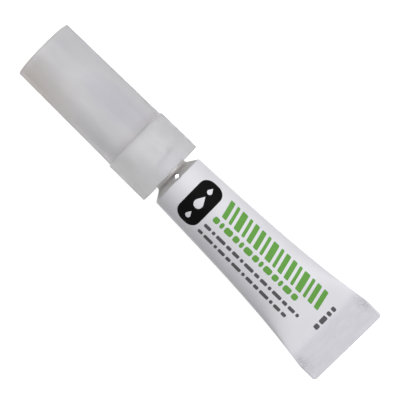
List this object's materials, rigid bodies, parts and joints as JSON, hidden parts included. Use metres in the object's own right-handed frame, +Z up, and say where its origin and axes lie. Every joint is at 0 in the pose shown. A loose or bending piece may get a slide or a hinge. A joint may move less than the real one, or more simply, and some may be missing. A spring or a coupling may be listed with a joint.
{
  "type": "glue tube",
  "caption": "Small aluminium squeeze tube of gel glue with a folded tail, a spout nozzle and a long cloudy screw cap with a wider collar.",
  "frame": {"origin": "on the surface that the tube lies on, under the centre of its outline", "axes": "+X along the tube, from the folded tail to the closed end of the cap; +Z up, out of the printed face"},
  "size_m": [0.0948, 0.0208, 0.0166],
  "materials": {
    "enamelled_aluminium": "gloss white enamel, bare metal at the shoulder and neck",
    "sealing_compound": "dull",
    "gel": "clear gel",
    "natural_plastic": "moulded, natural white",
    "steel": "drawn wire",
    "soft_plastic": "moulded, soft",
    "cloudy_plastic": "moulded, cloudy and slightly see-through",
    "green_print": "printed on the enamel",
    "black_print": "printed on the enamel",
    "grey_print": "printed on the enamel"
  },
  "bodies": {
    "tube": {"tube_shell": "enamelled_aluminium", "tail_sealant": "sealing_compound", "glue_gel": "gel", "nozzle": "natural_plastic"},
    "cap_core": {"cap_seal_plug": "soft_plastic", "clearing_pin": "steel"},
    "cap": {"cap": "cloudy_plastic"}
  },
  "joints": [
    {"name": "cap_rise", "type": "slide", "parent": "tube", "child": "cap_core", "axis": [1, 0, 0], "range_m": [0, 0.0286]},
    {"name": "cap_turn", "type": "hinge", "parent": "cap_core", "child": "cap", "pos_m": [0.0277, 0, 0.0083], "axis": [1, 0, 0], "range_deg": [0, 3240]}
  ],
  "couplings": [
    {"joint": "cap_rise", "follows": "cap_turn", "m_per_rad": 0.00050532}
  ]
}
